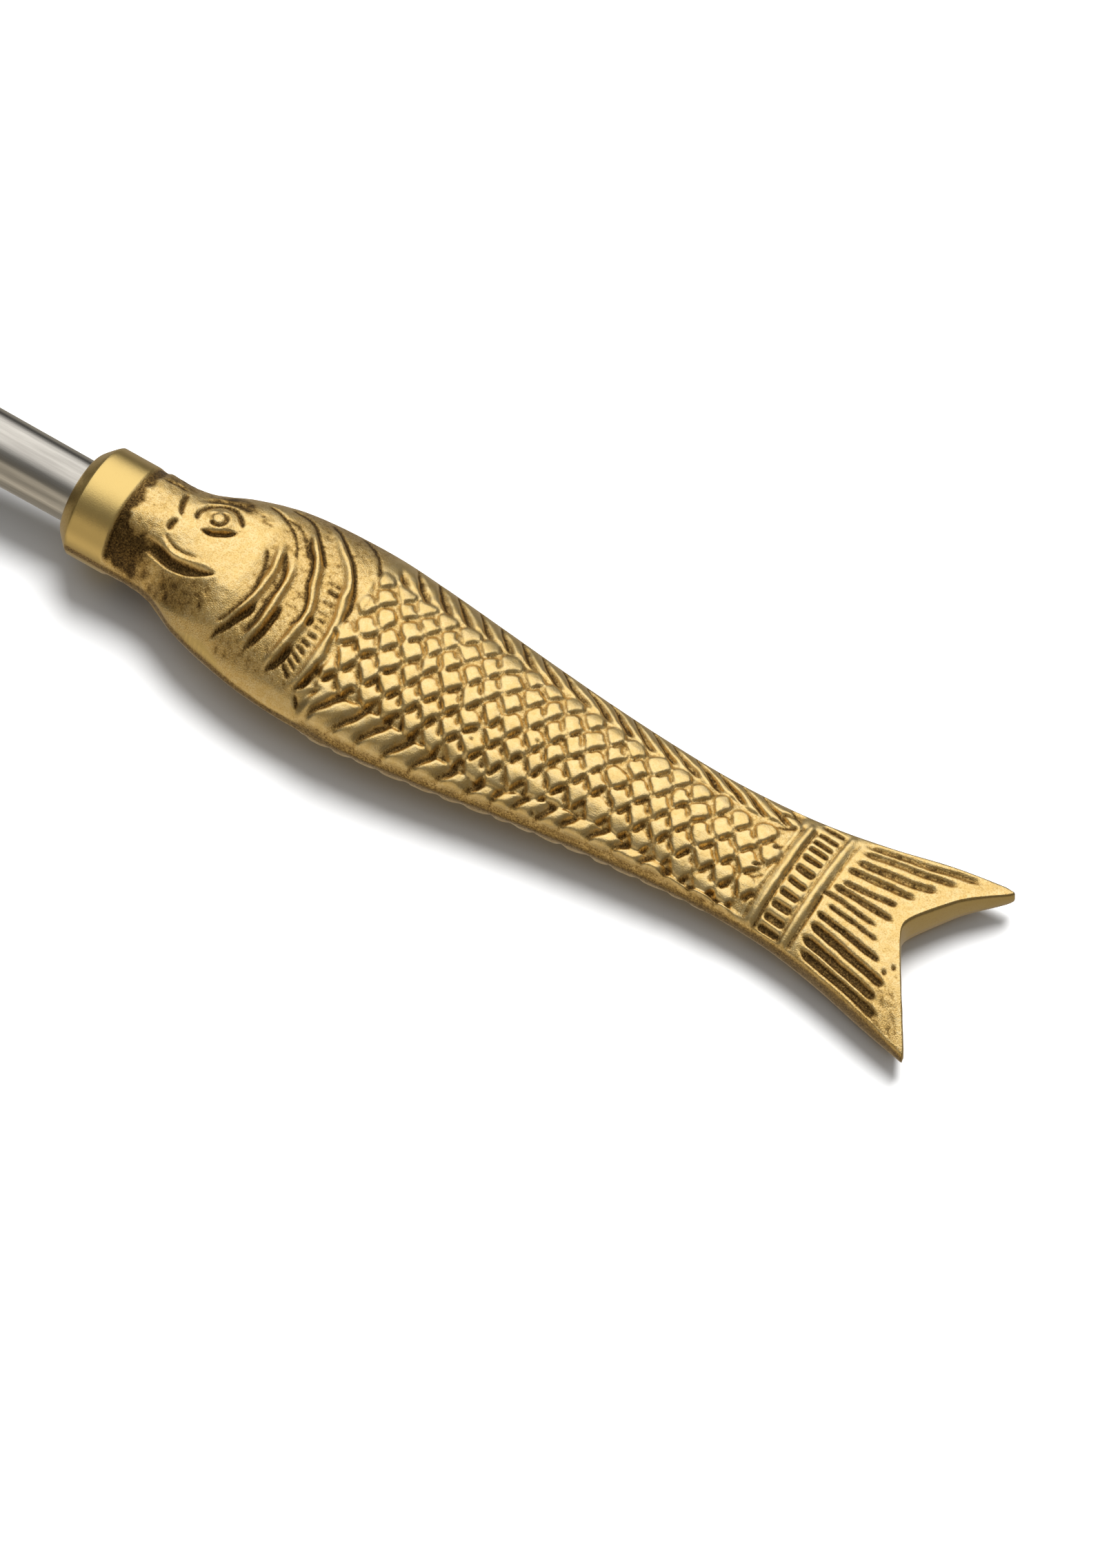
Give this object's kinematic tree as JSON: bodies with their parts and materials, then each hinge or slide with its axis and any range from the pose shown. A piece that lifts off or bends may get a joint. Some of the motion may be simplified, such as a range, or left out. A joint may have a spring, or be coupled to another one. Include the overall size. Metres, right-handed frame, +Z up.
{
  "type": "bottle opener",
  "caption": "Hand-held crown cap lifter: a flat steel ring with a tooth on a round bar, set in a solid cast brass handle shaped as a scaly fish with a forked tail.",
  "frame": {"origin": "under the middle of the opener's length, in the fish's middle plane, on the plane that the collar stands on", "axes": "+X from the cap lifter to the tail, +Y towards the fish's back, +Z up out of the fish's broad face"},
  "size_m": [0.2032, 0.041, 0.0139],
  "materials": {
    "cast_brass": "sand-cast relief with dark brown patina in the recesses, worn bright on the high spots; collar and edge filed to a satin",
    "brushed_steel": "stainless, brushed along the bar",
    "head_steel": "stainless, satin faces and rounded edges",
    "weld_metal": "weld bead dressed almost flush",
    "epoxy": "cured adhesive"
  },
  "bodies": {
    "root": {"fish_handle": "cast_brass", "shank": "brushed_steel", "opener_head": "head_steel", "weld_ring": "weld_metal", "epoxy_bond": "epoxy"}
  },
  "joints": []
}
